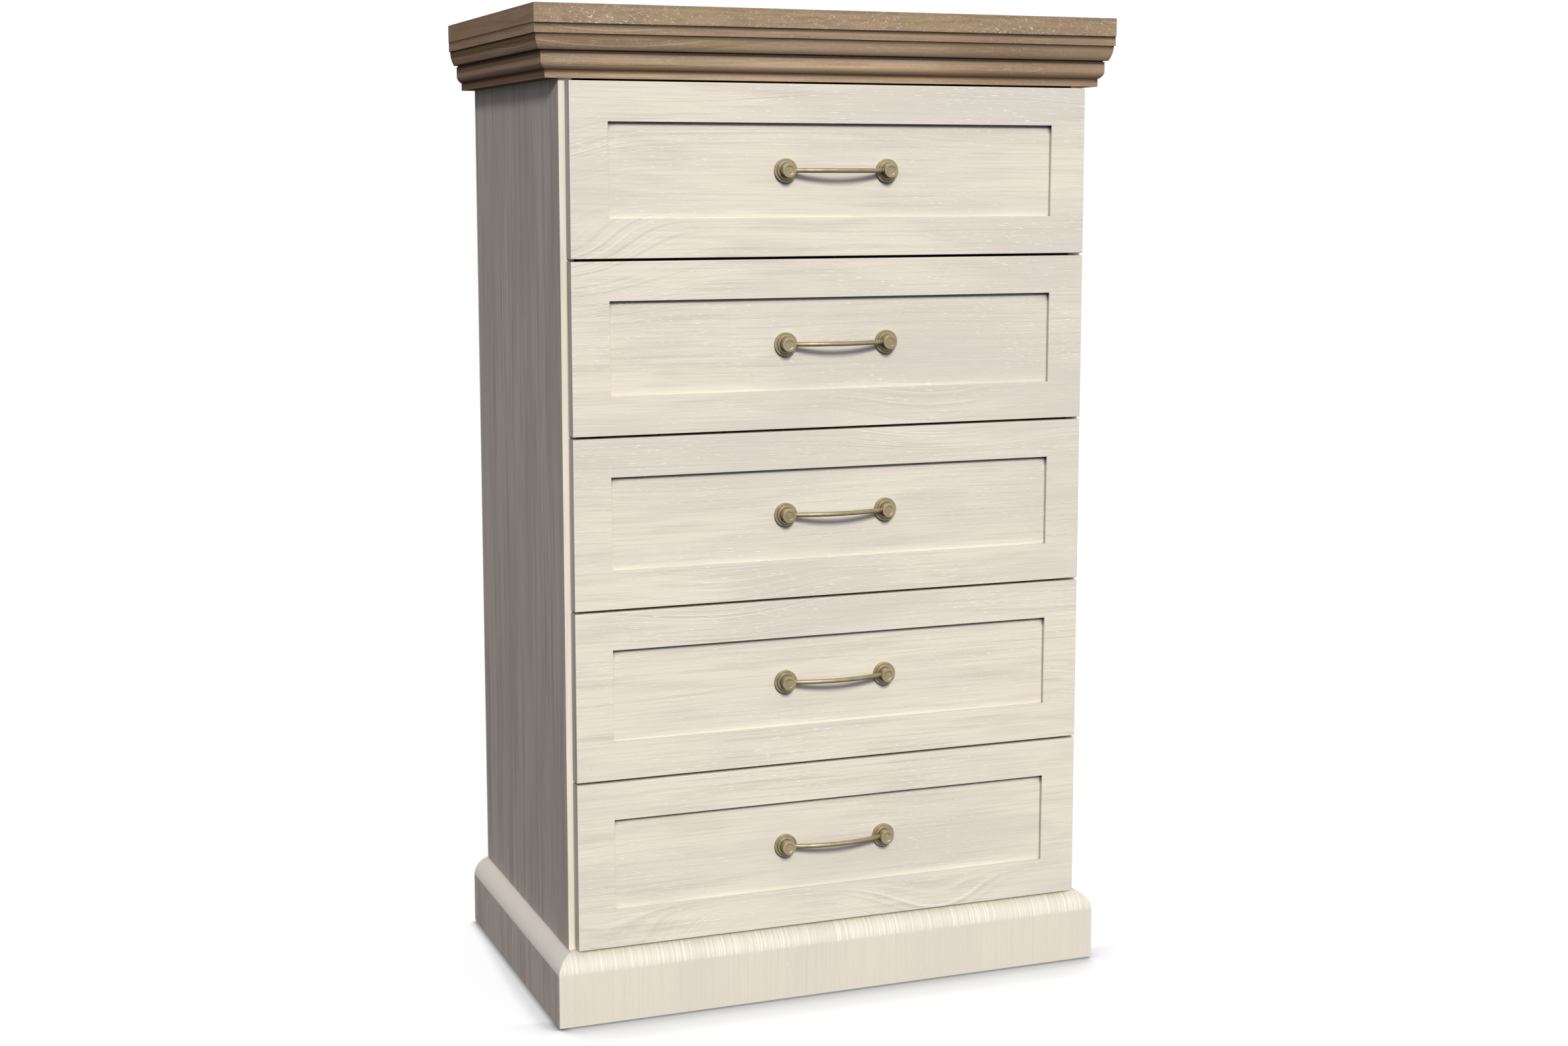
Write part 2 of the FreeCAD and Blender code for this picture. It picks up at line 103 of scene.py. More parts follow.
# Pulls
pull_spacing = 128 * MM
rose_radius = 14 * MM
rose_height = 3 * MM
collar_radius = 11 * MM
collar_height = 2.2 * MM
neck_radius = 7.25 * MM
neck_height = 2 * MM
knob_radius = 8.25 * MM
knob_height = 7.8 * MM
knob_dish_radius = 5.1 * MM
knob_dish_depth = 0.5 * MM
pull_edge_round = 0.7 * MM
bar_radius = 2.75 * MM
bar_height = 4.5 * MM
bar_bow = 13.25 * MM
post_facets = 64
bar_facets = 32
bar_steps = 48

# Carcass
left_panel_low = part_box("left_side_panel")[0]
carcass_half = -left_panel_low.x
carcass_front = left_panel_low.y


def carcass_face(origin, out, along):
    """A face of the carcass: a point on it, the way out from it and the way along it."""
    return SimpleNamespace(origin=Vector(origin), out=Vector(out), along=Vector(along))


FRONT = carcass_face((0, carcass_front, 0), (0, -1, 0), (1, 0, 0))
LEFT = carcass_face((-carcass_half, 0, 0), (-1, 0, 0), (0, 1, 0))
RIGHT = carcass_face((carcass_half, 0, 0), (1, 0, 0), (0, 1, 0))


# Handling of pieces

def take(piece):
    """Makes the piece the one selected and active object."""
    bpy.ops.object.select_all(action="DESELECT")
    piece.select_set(True)
    bpy.context.view_layer.objects.active = piece


def open_with(piece, kind, test):
    """Opens the piece for editing with only the elements that pass the test selected."""
    take(piece)
    bpy.ops.object.mode_set(mode="EDIT")
    bpy.ops.mesh.select_mode(type=kind)
    bpy.ops.mesh.select_all(action="DESELECT")
    shape = bmesh.from_edit_mesh(piece.data)
    elements = {"VERT": shape.verts, "EDGE": shape.edges, "FACE": shape.faces}[kind]
    for element in elements:
        if test(element):
            element.select_set(True)
    bmesh.update_edit_mesh(piece.data)


def close():
    """Ends the editing of the open piece."""
    bpy.ops.object.mode_set(mode="OBJECT")


def placed(name):
    """Names the piece just added and puts its place into its mesh."""
    piece = bpy.context.active_object
    piece.name = name
    piece.data.name = name
    bpy.ops.object.transform_apply(location=True, rotation=True, scale=True)
    return piece


def board(name, low, high):
    """A square-edged board between two corners."""
    bpy.ops.object.select_all(action="DESELECT")
    bpy.ops.mesh.primitive_cube_add(size=1, location=(low + high) / 2, scale=high - low)
    return placed(name)


def round_edges(piece, width, segments):
    """Rounds the sharp edges and shades the piece so that flat faces stay flat."""
    take(piece)
    rounding = piece.modifiers.new("edge_rounding", "BEVEL")
    rounding.width = width
    rounding.segments = segments
    rounding.limit_method = "ANGLE"
    rounding.angle_limit = sharp_edge
    bpy.ops.object.modifier_apply(modifier=rounding.name)
    smooth(piece)


def smooth(piece):
    """Shades shallow edges smoothly, with the normals led by the larger faces."""
    take(piece)
    bpy.ops.object.shade_smooth_by_angle(angle=shallow_edge)
    normals = piece.modifiers.new("even_normals", "WEIGHTED_NORMAL")
    normals.keep_sharp = True
    bpy.ops.object.modifier_apply(modifier=normals.name)


def copy_of(piece, name, shift):
    """A copy with its own mesh, moved by a shift that goes into the mesh."""
    take(piece)
    bpy.ops.object.duplicate()
    bpy.ops.transform.translate(value=shift)
    return placed(name)


def repaint(piece, finish, test):
    """Gives the faces that pass the test another finish."""
    piece.data.materials.append(finish)
    open_with(piece, "FACE", test)
    piece.active_material_index = len(piece.data.materials) - 1
    bpy.ops.object.material_slot_assign()
    close()


def fit(piece, body, slot, finish, *nodes):
    """Puts a finished piece on its body in place of CAD nodes."""
    piece.data.materials.clear()
    piece.data.materials.append(finish)
    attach(piece, body)
    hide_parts(*nodes)


# Materials

def add(tree, kind, inputs=None, **settings):
    """Adds a node, makes its settings, and sets or links its inputs."""
    node = tree.nodes.new(kind)
    for name, value in settings.items():
        setattr(node, name, value)
    for name, value in (inputs or {}).items():
        if isinstance(value, bpy.types.NodeSocket):
            tree.links.new(value, node.inputs[name])
        else:
            node.inputs[name].default_value = value
    return node


def new_finish(name):
    """An empty material with its tree, its shader and its Object coordinates."""
    material = bpy.data.materials.new(name)
    material.use_nodes = True
    tree = material.node_tree
    shader = tree.nodes["Principled BSDF"]
    coordinates = add(tree, "ShaderNodeTexCoord").outputs["Object"]
    return material, tree, shader, coordinates


def reckon(tree, operation, first, second):
    """One sum of two values."""
    return add(tree, "ShaderNodeMath", {0: first, 1: second}, operation=operation).outputs[0]


def weighted(tree, *pairs):
    """The sum of several values, each times its weight."""
    total = 0.0
    for value, weight in pairs:
        total = reckon(tree, "ADD", reckon(tree, "MULTIPLY", value, weight), total)
    return total


def stretched(tree, coordinates, along, across):
    """Coordinates with so many features to a metre along the grain and across it."""
    inputs = {"Vector": coordinates, "Scale": (along, across, across)}
    return add(tree, "ShaderNodeMapping", inputs).outputs["Vector"]


def noise(tree, coordinates, detail=3.0, roughness=0.55):
    """Soft random values at one feature to a unit."""
    inputs = {"Vector": coordinates, "Scale": 1.0, "Detail": detail, "Roughness": roughness}
    return add(tree, "ShaderNodeTexNoise", inputs).outputs["Fac"]


def noise_along(tree, phase):
    """Random values along one line, for lines that follow a phase."""
    inputs = {"W": phase, "Scale": 1.0, "Detail": 2.5, "Roughness": 0.6}
    return add(tree, "ShaderNodeTexNoise", inputs, noise_dimensions="1D").outputs["Fac"]


def ranged(tree, value, low, high, to_low=0.0, to_high=1.0):
    """A value taken smoothly from one range to another and held within it."""
    inputs = {"Value": value, "From Min": low, "From Max": high, "To Min": to_low, "To Max": to_high}
    return add(tree, "ShaderNodeMapRange", inputs, interpolation_type="SMOOTHSTEP").outputs["Result"]


def mixed(tree, share, first, second):
    """A colour between two colours."""
    mix = add(tree, "ShaderNodeMix", data_type="RGBA")
    for index, value in ((0, share), (6, first), (7, second)):
        if isinstance(value, bpy.types.NodeSocket):
            tree.links.new(value, mix.inputs[index])
        else:
            mix.inputs[index].default_value = value
    return mix.outputs[2]


def embossed(tree, shader, height, strength, depth):
    """Turns a height into relief on the shader."""
    inputs = {"Height": height, "Strength": strength, "Distance": depth}
    bump = add(tree, "ShaderNodeBump", inputs)
    tree.links.new(bump.outputs["Normal"], shader.inputs["Normal"])


ALONG_X = (0, 0, 0)
ALONG_Y = (0, 0, math.radians(-90))
ALONG_Z = (0, math.radians(90), 0)


def variant(look, **changes):
    """The same look with some of its values changed or added."""
    return SimpleNamespace(**{**vars(look), **changes})


# Looks of the foils: colours, the share of each mark, features to a metre, relief and gloss. The highlight
# colour is a painted highlight and the shade colour painted shade.
plain_foil = SimpleNamespace(
    dust_share=0.0,
    smudge_share=0.0,
    dash_share=1.0,
    ridge_share=1.0,
    stroke_share=0.0,
    crest_share=0.0,
    flute_share=0.0,
    bounce_share=0.0,
    glaze_share=0.0,
    smoothest=0.38,
    roughest=0.56,
)
washed_pine = variant(
    plain_foil,
    ground=(0.862, 0.792, 0.651, 1),
    line=(0.600, 0.540, 0.450, 1),
    cloud=(0.704, 0.658, 0.566, 1),
    gleam=(0.970, 0.925, 0.820, 1),
    shade=(0.030, 0.034, 0.055, 1),
    dust=(0.560, 0.520, 0.440, 1),
    dust_share=0.75,
    smudge_share=0.26,
    ring_share=0.50,
    calm=0.45,
    fibre_share=0.40,
    cloud_share=0.80,
    gleam_share=0.75,
    bounce_share=0.15,
    shade_range=(0.40, 0.66),
    shade_reach=11 * MM,
    rings_per_metre=250,
    ring_sway=11.0,
    knots_along=2.1,
    knots_across=5.5,
    knot_swirl=13.0,
    fibres_along=8,
    fibres_across=400,
    pores_along=95,
    pores_across=620,
    relief=0.45,
    relief_depth=0.9 * MM,
    shine=0.30,
)
embossed_oak = variant(
    plain_foil,
    ground=(0.380, 0.264, 0.153, 1),
    line=(0.170, 0.108, 0.060, 1),
    cloud=(0.275, 0.175, 0.102, 1),
    gleam=(0.860, 0.760, 0.590, 1),
    shade=(0.045, 0.028, 0.018, 1),
    ring_share=0.40,
    calm=0.50,
    fibre_share=0.45,
    cloud_share=0.60,
    gleam_share=0.90,
    dash_share=0.35,
    ridge_share=0.20,
    stroke_share=1.0,
    shade_range=(0.55, 0.90),
    shade_reach=5 * MM,
    rings_per_metre=150,
    ring_sway=7.0,
    knots_along=3.0,
    knots_across=9.0,
    knot_swirl=6.0,
    fibres_along=24,
    fibres_across=260,
    pores_along=150,
    pores_across=520,
    relief=0.90,
    relief_depth=1.3 * MM,
    smoothest=0.32,
    roughest=0.50,
    shine=0.45,
)
moulded_oak = variant(
    plain_foil,
    ground=(0.400, 0.288, 0.179, 1),
    line=(0.170, 0.110, 0.062, 1),
    cloud=(0.285, 0.184, 0.112, 1),
    gleam=(0.700, 0.580, 0.410, 1),
    shade=(0.045, 0.028, 0.018, 1),
    ring_share=0.36,
    calm=0.60,
    fibre_share=0.42,
    cloud_share=0.80,
    gleam_share=0.34,
    stroke_share=0.7,
    glaze_share=1.0,
    glaze_above=11 * MM,
    glaze_core=0.0,
    glaze_below=10 * MM,
    foot=(0.640, 0.475, 0.305, 1),
    shade_range=(0.55, 0.90),
    shade_reach=5 * MM,
    rings_per_metre=160,
    ring_sway=5.0,
    knots_along=1.9,
    knots_across=7.0,
    knot_swirl=4.0,
    fibres_along=7,
    fibres_across=320,
    pores_along=60,
    pores_across=480,
    relief=0.40,
    relief_depth=0.9 * MM,
    shine=0.20,
)
# Upright boards: a darker, browner ground than the fronts' foil, as painted shade for the sides.
streaked_pine = variant(
    washed_pine,
    ground=(0.496, 0.437, 0.369, 1),
    line=(0.277, 0.230, 0.184, 1),
    cloud=(0.400, 0.356, 0.310, 1),
    ring_share=0.30,
    fibre_share=0.62,
    shade_range=(0.0, 0.10),
    dust_share=0.0,
    smudge_share=0.0,
    cloud_share=0.75,
    gleam_share=0.12,
    bounce_share=0.0,
    ring_sway=5.0,
    knot_swirl=1.5,
    fibres_along=4,
    fibres_across=95,
    shine=0.0,
)
# Carcass front edges: a lighter ground, as painted light on the edge strip.
edge_pine = variant(
    streaked_pine,
    ground=(0.905, 0.832, 0.688, 1),
    line=(0.640, 0.575, 0.470, 1),
    cloud=(0.800, 0.740, 0.640, 1),
)
# Drawer ends: a lighter ground than the sides, as painted light where the drawers' key light does not
# reach.
end_pine = variant(
    streaked_pine,
    ground=(0.800, 0.712, 0.600, 1),
    line=(0.440, 0.370, 0.300, 1),
    cloud=(0.700, 0.625, 0.540, 1),
)
ridged_pine = variant(
    washed_pine,
    ground=(0.800, 0.735, 0.607, 1),
    ring_share=0.12,
    fibre_share=0.22,
    cloud_share=0.35,
    gleam_share=0.30,
    crest_share=0.9,
    flute_share=1.0,
    shade_range=(0.08, 0.34),
    dust_share=0.0,
    smudge_share=0.0,
    bounce_share=0.0,
    ring_sway=5.0,
    knot_swirl=0.0,
    shine=0.50,
)
# Plinth sides: a darker ground, as painted shade, with the painted crest highlight on the rounding.
matt_ridged_pine = variant(
    streaked_pine,
    ground=(0.596, 0.532, 0.440, 1),
    gleam=(0.900, 0.830, 0.700, 1),
    fibre_share=0.45,
    crest_share=0.85,
)
# Cornice sides and slab ends: a darker foot tone and tighter bands, as painted shade, with a lighter shade
# colour and few painted glints.
matt_oak = variant(
    moulded_oak,
    ground=(0.430, 0.302, 0.196, 1),
    gleam_share=0.08,
    glaze_above=4 * MM,
    glaze_core=7 * MM,
    glaze_below=5 * MM,
    foot=(0.290, 0.205, 0.134, 1),
    shade=(0.110, 0.074, 0.052, 1),
    shine=0.0,
)


# Wood marks: features to a metre along the grain and across it
sway_scale = (1.4, 5.0)
patch_scale = (5.0, 14.0)
cloud_scale = (2.4, 9.0)
smudge_scale = (6.0, 55.0)
stroke_scale = (135, 235)
stroke_break_scale = (150, 210)
flutes_per_metre = 340
swells_per_metre = 24

# Wood marks: the stretch of a noise over which each one sets in
NOISE_SPAN = (0.3, 0.7)
ring_onset = (0.46, 0.72)
ridge_onset = (0.56, 0.70)
fibre_onset = (0.42, 0.72)
pore_onset = (0.58, 0.72)
patch_onset = (0.38, 0.62)
cloud_onset = (0.40, 0.68)
smudge_onset = (0.44, 0.66)
stroke_width = (0.010, 0.034)
stroke_break_onset = (0.38, 0.50)
flute_onset = (0.42, 0.62)
swell_onset = (0.38, 0.58)

# Wood marks: shares and proportions
patch_least = 0.25
ring_slant = 0.6
ridges_per_ring = 1.7
knot_swirl_reach = (0.05, 0.50)
knot_mark_reach = (0.15, 0.55)
swell_share = 0.65
glaze_falloff = 2.0

# Slopes, from nought on a wall to one on top, over which marks of the shape set in or end, among them the
# painted crest highlight
crest_start = (0.03, 0.13)
crest_end = (0.93, 1.0)
crest_calm = (0.1, 0.5)
crest_line_share = 0.3
dust_slope = (0.15, 0.60)
upward_slope = (0.3, 0.7)

# Shelter beside ledges, from nought in a gap to one in the open, which sets where shade and bounced light
# are painted
SHELTER_SAMPLES = 8
ledge_lean = 1.2
bounce_onset = (0.08, 0.42)
gap_onset = (0.05, 0.30)


def beside_ledges(tree, lean, reach):
    """One in the open, and less close under a ledge, or close over one where the lean is down."""
    normal = add(tree, "ShaderNodeNewGeometry").outputs["Normal"]
    leaning = add(tree, "ShaderNodeVectorMath", {0: normal, 1: (0, 0, lean)}, operation="ADD").outputs[0]
    way = add(tree, "ShaderNodeVectorMath", {0: leaning}, operation="NORMALIZE").outputs[0]
    inputs = {"Distance": reach, "Normal": way}
    return add(tree, "ShaderNodeAmbientOcclusion", inputs, samples=SHELTER_SAMPLES).outputs["AO"]


def ring_phase(tree, grain, look):
    """Rings that rise across the grain, sway and swirl about knots, and how near a knot each place is."""
    parts = add(tree, "ShaderNodeSeparateXYZ", {"Vector": grain}).outputs
    sway = noise(tree, stretched(tree, grain, *sway_scale), detail=2.0)
    inputs = {"Vector": stretched(tree, grain, look.knots_along, look.knots_across), "Scale": 1.0}
    knot_distance = add(tree, "ShaderNodeTexVoronoi", inputs).outputs["Distance"]
    knot = ranged(tree, knot_distance, *knot_swirl_reach, 1.0, 0.0)
    phase = weighted(
        tree,
        (parts["Z"], look.rings_per_metre),
        (parts["Y"], look.rings_per_metre * ring_slant),
        (sway, look.ring_sway),
        (knot, look.knot_swirl),
    )
    return phase, ranged(tree, knot_distance, *knot_mark_reach, 1.0, 0.0)


def bright_strokes(tree, grain):
    """Short scribbled strokes for painted glints: thin contours of a noise, broken up by another one."""
    field = noise(tree, stretched(tree, grain, *stroke_scale), detail=1.0)
    away = reckon(tree, "SUBTRACT", field, 0.5)
    nearness = add(tree, "ShaderNodeMath", {0: away}, operation="ABSOLUTE").outputs[0]
    contours = ranged(tree, nearness, *stroke_width, 1.0, 0.0)
    gaps = noise(tree, stretched(tree, grain, *stroke_break_scale), detail=1.0)
    return reckon(tree, "MULTIPLY", contours, ranged(tree, gaps, *stroke_break_onset))


def slope(tree):
    """How far a surface faces up: one on top, nought on a wall, minus one underneath."""
    normal = add(tree, "ShaderNodeNewGeometry").outputs["Normal"]
    return add(tree, "ShaderNodeSeparateXYZ", {"Vector": normal}).outputs["Z"]


def lit_crests(tree, coordinates, flute_share):
    """A painted highlight where a rounding turns from the front to the top, with upright flutes in it."""
    tilt = slope(tree)
    up_to_top = ranged(tree, tilt, *crest_end, 1.0, 0.0)
    rounding = reckon(tree, "MULTIPLY", ranged(tree, tilt, *crest_start), up_to_top)
    across = add(tree, "ShaderNodeSeparateXYZ", {"Vector": coordinates}).outputs["X"]
    ripples = noise_along(tree, reckon(tree, "MULTIPLY", across, flutes_per_metre))
    flutes = ranged(tree, ripples, *flute_onset, 1 - flute_share, 1.0)
    stretches = noise_along(tree, reckon(tree, "MULTIPLY", across, swells_per_metre))
    swell = ranged(tree, stretches, *swell_onset, 1 - swell_share * flute_share, 1.0)
    return reckon(tree, "MULTIPLY", rounding, reckon(tree, "MULTIPLY", flutes, swell))


def glaze(tree, height, look):
    """Painted shade along the cornice's lines: full within the core under a line, fading on both sides."""
    share = 0.0
    lines = ((fillet_line, hairline), (quirk_line, look.glaze_above), (lip_line, look.glaze_above))
    for line, above in lines:
        offset = reckon(tree, "SUBTRACT", height, line)
        over = ranged(tree, offset, 0.0, above, 1.0, 0.0)
        beneath = ranged(tree, offset, -look.glaze_core, -look.glaze_core - look.glaze_below, 1.0, 0.0)
        fading = reckon(tree, "POWER", reckon(tree, "MULTIPLY", over, beneath), glaze_falloff)
        share = reckon(tree, "MAXIMUM", share, fading)
    return share


def wood_marks(tree, grain, look):
    """Rings that sway round knots, straight fibres, and pores, ridges and strokes that are raised in the
    relief and painted as glints, in patches.
    """
    phase, near_knot = ring_phase(tree, grain, look)
    patchy = noise(tree, stretched(tree, grain, *patch_scale))
    patches = ranged(tree, patchy, *patch_onset, patch_least, 1.0)
    ring_weight = reckon(tree, "MULTIPLY", patches, ranged(tree, near_knot, 0.0, 1.0, look.calm, 1.0))
    rings = reckon(tree, "MULTIPLY", ranged(tree, noise_along(tree, phase), *ring_onset), ring_weight)
    fibres = noise(tree, stretched(tree, grain, look.fibres_along, look.fibres_across), 5.0, 0.65)
    pores = noise(tree, stretched(tree, grain, look.pores_along, look.pores_across), detail=2.0)
    dashes = reckon(tree, "MULTIPLY", ranged(tree, pores, *pore_onset), look.dash_share)
    ridges = ranged(tree, noise_along(tree, reckon(tree, "MULTIPLY", phase, ridges_per_ring)), *ridge_onset)
    knot_ridges = reckon(tree, "MULTIPLY", reckon(tree, "MULTIPLY", ridges, near_knot), look.ridge_share)
    gleams = reckon(tree, "MAXIMUM", dashes, knot_ridges)
    if look.stroke_share:
        strokes = reckon(tree, "MULTIPLY", bright_strokes(tree, grain), look.stroke_share)
        gleams = reckon(tree, "MAXIMUM", gleams, strokes)
    gleams = reckon(tree, "MULTIPLY", gleams, patches)
    return SimpleNamespace(rings=rings, fibres=fibres, gleams=gleams, patches=patches)


def printed_colour(tree, coordinates, grain, marks, look):
    """The ground under lines, clouds and painted glints, then what follows the shape: a painted crest
    highlight, painted shade in bands along the cornice, and a darker tone on faces that look up.
    """
    fibre_lines = ranged(tree, marks.fibres, *fibre_onset)
    line_share = weighted(tree, (marks.rings, look.ring_share), (fibre_lines, look.fibre_share))
    if look.smudge_share:
        smears = noise(tree, stretched(tree, grain, *smudge_scale), detail=3.0)
        smudges = ranged(tree, smears, *smudge_onset)
        line_share = weighted(tree, (line_share, 1.0), (smudges, look.smudge_share))
    # Fewer grain lines under the painted crest highlight.
    if look.crest_share:
        calmed = ranged(tree, slope(tree), *crest_calm, 1.0, crest_line_share)
        line_share = reckon(tree, "MULTIPLY", line_share, calmed)
    ground = look.ground
    # Down the cornice the ground shifts towards the foot tone: painted light on the front, where the foot
    # is lighter, and painted shade on the sides, where it is darker.
    if look.glaze_share:
        height = add(tree, "ShaderNodeSeparateXYZ", {"Vector": coordinates}).outputs["Z"]
        ground = mixed(tree, ranged(tree, height, fillet_line, cornice_low.z), ground, look.foot)
    colour = mixed(tree, line_share, ground, look.line)
    clouds = ranged(tree, noise(tree, stretched(tree, grain, *cloud_scale), detail=5.0), *cloud_onset)
    colour = mixed(tree, reckon(tree, "MULTIPLY", clouds, look.cloud_share), colour, look.cloud)
    # Painted highlight: bright glints painted on pores, knot ridges and strokes.
    colour = mixed(tree, reckon(tree, "MULTIPLY", marks.gleams, look.gleam_share), colour, look.gleam)
    # Painted highlight on the rounded crest of the plinth.
    if look.crest_share:
        crests = reckon(tree, "MULTIPLY", lit_crests(tree, coordinates, look.flute_share), look.crest_share)
        colour = mixed(tree, crests, colour, look.gleam)
    # Painted shade in bands under the cornice's lines.
    if look.glaze_share:
        share = reckon(tree, "MULTIPLY", glaze(tree, height, look), look.glaze_share)
        colour = mixed(tree, share, colour, look.line)
    # Darker towards the topside tone on faces that look up.
    if look.dust_share:
        settled = ranged(tree, slope(tree), *dust_slope, 0.0, look.dust_share)
        colour = mixed(tree, settled, colour, look.dust)
    return colour


def shaded_by_ledges(tree, colour, patches, look):
    """The colour with painted shade close under ledges and in gaps, and painted bounced light close over
    ledges.
    """
    facing_up = ranged(tree, slope(tree), *upward_slope)
    under = reckon(tree, "MAXIMUM", beside_ledges(tree, ledge_lean, look.shade_reach), facing_up)
    # Painted bounced light close over ledges, in the highlight colour.
    if look.bounce_share:
        over = beside_ledges(tree, -ledge_lean, look.shade_reach)
        bounce = ranged(tree, reckon(tree, "SUBTRACT", under, over), *bounce_onset, 0.0, look.bounce_share)
        colour = mixed(tree, reckon(tree, "MULTIPLY", bounce, patches), colour, look.gleam)
    # Painted shade close under ledges.
    colour = mixed(tree, ranged(tree, under, *look.shade_range), look.shade, colour)
    # Painted shade in covered gaps, such as under the lowest drawer, on looks with a crest highlight.
    if look.crest_share:
        covered = ranged(tree, beside_ledges(tree, 0.0, look.shade_reach), *gap_onset)
        colour = mixed(tree, covered, look.shade, colour)
    return colour


def wood_foil(name, look, turn):
    """Embossed wood-print foil, with its grain turned along the piece."""
    material, tree, shader, coordinates = new_finish(name)
    inputs = {"Vector": coordinates, "Rotation": turn}
    grain = add(tree, "ShaderNodeMapping", inputs).outputs["Vector"]
    marks = wood_marks(tree, grain, look)
    colour = printed_colour(tree, coordinates, grain, marks, look)
    colour = shaded_by_ledges(tree, colour, marks.patches, look)
    tree.links.new(colour, shader.inputs["Base Color"])
    roughness = ranged(tree, marks.fibres, *NOISE_SPAN, look.roughest, look.smoothest)
    tree.links.new(roughness, shader.inputs["Roughness"])
    shader.inputs["Specular IOR Level"].default_value = look.shine
    relief = weighted(tree, (marks.rings, -0.5), (marks.fibres, 0.5), (marks.gleams, 0.5))
    embossed(tree, shader, relief, look.relief, look.relief_depth)
    return material


def antique_brass():
    """Satin brass, mottled brown and rubbed bright in places, tarnished in its grooves, with painted shade
    under its knobs and on its undersides, a painted highlight on top, and rims that are worn bright and
    painted as highlights.
    """
    plain = (0.350, 0.288, 0.166, 1)
    browned = (0.255, 0.204, 0.112, 1)
    rubbed = (0.460, 0.390, 0.228, 1)
    lit_top = (0.440, 0.380, 0.240, 1)
    bare_edge = (0.700, 0.620, 0.420, 1)
    tarnish = (0.050, 0.038, 0.016, 1)
    shelter_reach = 9 * MM
    shelter_range = (0.20, 0.60, 0.97, 0.0)
    groove_reach = 3 * MM
    groove_lean = 0.3
    groove_range = (0.45, 0.85, 0.90, 0.0)
    underside_range = (-0.05, -0.60, 0.0, 0.85)
    edge_width = 1.2 * MM
    edge_range = (0.50, 0.85, 0.75, 0.0)
    patina_range = (0.35, 0.70)
    wear_range = (0.55, 0.75, 0.0, 0.5)
    lit_range = (0.45, 0.90, 0.0, 0.3)

    material, tree, shader, coordinates = new_finish("antique_brass")
    patina = noise(tree, stretched(tree, coordinates, 70, 70), detail=4.0)
    wear = noise(tree, stretched(tree, coordinates, 420, 420), detail=3.0)
    tilt = slope(tree)
    # Painted shade: a dark crescent close under the knob and the bar.
    shelter = ranged(tree, beside_ledges(tree, ledge_lean, shelter_reach), *shelter_range)
    # Tarnish in the grooves and tight corners.
    grooves = ranged(tree, beside_ledges(tree, groove_lean, groove_reach), *groove_range)
    # Painted shade on faces that look down.
    undersides = ranged(tree, tilt, *underside_range)
    # Bright rims: edge wear, also painted as a highlight.
    edge_inputs = {"Distance": edge_width}
    edge_search = add(tree, "ShaderNodeAmbientOcclusion", edge_inputs, samples=SHELTER_SAMPLES, inside=True)
    edges = ranged(tree, edge_search.outputs["AO"], *edge_range)
    colour = mixed(tree, ranged(tree, patina, *patina_range), plain, browned)
    colour = mixed(tree, ranged(tree, wear, *wear_range), colour, rubbed)
    # Painted highlight on faces that look up.
    colour = mixed(tree, ranged(tree, tilt, *lit_range), colour, lit_top)
    colour = mixed(tree, edges, colour, bare_edge)
    # Tarnish in the grooves, and painted shade under the knob and on faces that look down.
    hidden = reckon(tree, "MAXIMUM", shelter, reckon(tree, "MAXIMUM", grooves, undersides))
    colour = mixed(tree, hidden, colour, tarnish)
    tree.links.new(colour, shader.inputs["Base Color"])
    tree.links.new(ranged(tree, patina, *NOISE_SPAN, 0.34, 0.50), shader.inputs["Roughness"])
    shader.inputs["Metallic"].default_value = 0.45
    embossed(tree, shader, weighted(tree, (patina, 0.5), (wear, 0.5)), 0.12, 0.3 * MM)
    return material


def zinc_steel():
    """Zinc-plated steel with faint spangle and drawing lines."""
    dull = (0.54, 0.55, 0.56, 1)
    bright = (0.66, 0.67, 0.67, 1)
    material, tree, shader, coordinates = new_finish("zinc_steel")
    inputs = {"Vector": coordinates, "Scale": 140.0}
    spangle = add(tree, "ShaderNodeTexVoronoi", inputs).outputs["Color"]
    tone = add(tree, "ShaderNodeSeparateColor", {"Color": spangle}).outputs[0]
    drawn = noise(tree, stretched(tree, coordinates, 900, 30))
    tree.links.new(mixed(tree, ranged(tree, tone, 0.0, 1.0), dull, bright), shader.inputs["Base Color"])
    tree.links.new(ranged(tree, drawn, *NOISE_SPAN, 0.30, 0.46), shader.inputs["Roughness"])
    shader.inputs["Metallic"].default_value = 1.0
    embossed(tree, shader, drawn, 0.08, 0.2 * MM)
    return material


def drawer_box_foil():
    """Plain pale foil with a faint linen print."""
    ground = (0.70, 0.665, 0.59, 1)
    thread = (0.78, 0.745, 0.67, 1)
    cloud = (0.68, 0.65, 0.59, 1)
    material, tree, shader, coordinates = new_finish("drawer_box_foil")
    warp = noise(tree, stretched(tree, coordinates, 60, 900), detail=2.0)
    weft = noise(tree, stretched(tree, coordinates, 900, 60), detail=2.0)
    linen = weighted(tree, (warp, 0.5), (weft, 0.5))
    clouds = noise(tree, stretched(tree, coordinates, 5, 5))
    colour = mixed(tree, ranged(tree, linen, 0.38, 0.62), ground, thread)
    colour = mixed(tree, ranged(tree, clouds, 0.4, 0.8, 0.0, 0.3), colour, cloud)
    tree.links.new(colour, shader.inputs["Base Color"])
    tree.links.new(ranged(tree, linen, *NOISE_SPAN, 0.5, 0.65), shader.inputs["Roughness"])
    embossed(tree, shader, linen, 0.15, 0.2 * MM)
    return material


